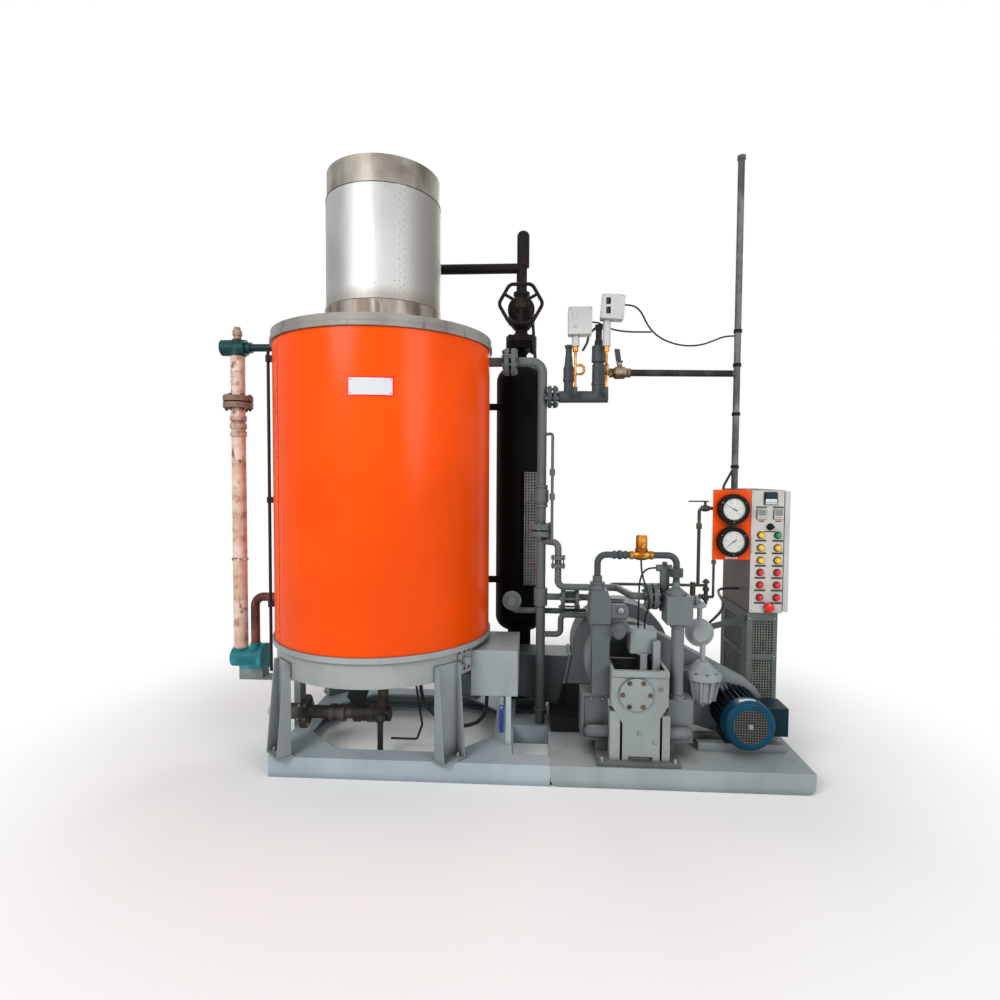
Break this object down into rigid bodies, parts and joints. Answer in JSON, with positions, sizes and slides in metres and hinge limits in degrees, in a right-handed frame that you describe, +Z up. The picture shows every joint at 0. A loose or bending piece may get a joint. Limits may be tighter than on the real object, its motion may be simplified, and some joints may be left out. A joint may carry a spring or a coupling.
{
  "type": "skid-mounted steam generator",
  "caption": "Skid-mounted vertical coil steam generator with burner drum and stack, separator, feed pump, blower, motor, pressure controls and control cabinet.",
  "frame": {"origin": "centre of the bounding box at ground level, under the skid", "axes": "+Z up, +X along the skid from the burner drum to the control cabinet, +Y from the front to the back"},
  "size_m": [2.708, 1.041, 2.846],
  "materials": {
    "grey_paint": "semi-gloss enamel",
    "machine_grey": "brushed-on enamel over castings",
    "orange_paint": "gloss enamel",
    "stainless": "rolled sheet",
    "stack_steel": "heat-stained sheet",
    "black_paint": "matt heat-proof paint",
    "iron_pipe": "dark oxide",
    "teal_cast": "gloss enamel on castings",
    "motor_blue": "gloss enamel",
    "cream_pipe": "weathered paint with rust",
    "brass": "cast and machined",
    "bronze": "dull cast",
    "blue_lever": "vinyl dip",
    "dark_lever": "dark oxide",
    "cabinet_front": "powder coat",
    "cabinet_side": "powder coat",
    "gauge_black": "moulded rim",
    "control_plastic": "moulded",
    "mesh_green": "punched sheet, enamel",
    "switch_case": "moulded case",
    "cable_black": "extruded sheath",
    "hose_grey": "ribbed conduit"
  },
  "bodies": {
    "frame": {"actuator_box": "machine_grey", "air_duct": "machine_grey", "ball_valve": "bronze", "belt_guard": "grey_paint", "blower_scroll": "machine_grey", "burner_pan": "grey_paint", "cabinet_body": "cabinet_side", "cabinet_pedestal": "mesh_green", "cord_left_switch": "cable_black", "cord_post": "cable_black", "cord_solenoid": "cable_black", "cord_switch": "cable_black", "crankcase": "machine_grey", "drum_legs": "grey_paint", "drum_lid": "grey_paint", "drum_shell": "orange_paint", "duct_cover": "grey_paint", "flue_jacket": "stainless", "flue_liner": "stack_steel", "gas_line": "machine_grey", "gauge_glass_guard": "mesh_green", "gauge_lines": "iron_pipe", "gauge_plate": "orange_paint", "hose_burner": "cable_black", "hose_cabinet": "hose_grey", "left_pump_cylinder": "machine_grey", "level_base": "teal_cast", "level_head": "teal_cast", "level_tube": "cream_pipe", "motor": "motor_blue", "motor_rails": "machine_grey", "panel_controls": "control_plastic", "pedestal_mesh": "mesh_green", "pressure_gauges": "gauge_black", "pressure_switches": "switch_case", "pulsation_chamber": "grey_paint", "pump_base": "machine_grey", "pump_loop": "machine_grey", "pump_platform": "grey_paint", "right_pump_cylinder": "machine_grey", "riser_pipework": "machine_grey", "safety_header": "machine_grey", "sensor_cable": "cable_black", "separator_bottom": "black_paint", "separator_shell": "black_paint", "separator_top": "black_paint", "siphons": "brass", "skid_frame": "grey_paint", "solenoid_valve": "brass", "steam_outlet": "iron_pipe", "stop_valve": "iron_pipe", "vent_pole": "iron_pipe", "windbox": "machine_grey"},
    "handwheel": {"stop_valve_wheel": "iron_pipe"},
    "isolating_lever": {"ball_valve_lever": "blue_lever"},
    "fuel_cock_lever": {"cock_lever": "dark_lever"},
    "drain_cock_lever": {"drain_lever": "blue_lever"},
    "gauge_cock": {"gauge_cock_lever": "dark_lever"},
    "panel_door": {"cabinet_door": "cabinet_front"}
  },
  "joints": [
    {"name": "handwheel_turn", "type": "hinge", "parent": "frame", "child": "handwheel", "pos_m": [0.078, 0.2025, 2.153], "axis": [0, 1, 0], "continuous": true},
    {"name": "isolating_lever_turn", "type": "hinge", "parent": "frame", "child": "isolating_lever", "pos_m": [0.55, 0.0305, 1.822], "axis": [0, 0, 1], "range_deg": [-90, 0]},
    {"name": "fuel_cock_turn", "type": "hinge", "parent": "frame", "child": "fuel_cock_lever", "pos_m": [-0.534, -0.2145, 0.19], "axis": [0, 1, 0], "range_deg": [0, 90]},
    {"name": "drain_cock_turn", "type": "hinge", "parent": "frame", "child": "drain_cock_lever", "pos_m": [0.015, -0.2345, 0.264], "axis": [0, 1, 0], "range_deg": [0, 90]},
    {"name": "gauge_cock_turn", "type": "hinge", "parent": "frame", "child": "gauge_cock", "pos_m": [0.965, 0.0505, 1.168], "axis": [0, 0, 1], "range_deg": [0, 90]},
    {"name": "panel_door_swing", "type": "hinge", "parent": "frame", "child": "panel_door", "pos_m": [1.345, 0.4045, 0.939], "axis": [0, 0, 1], "range_deg": [0, 110]}
  ]
}
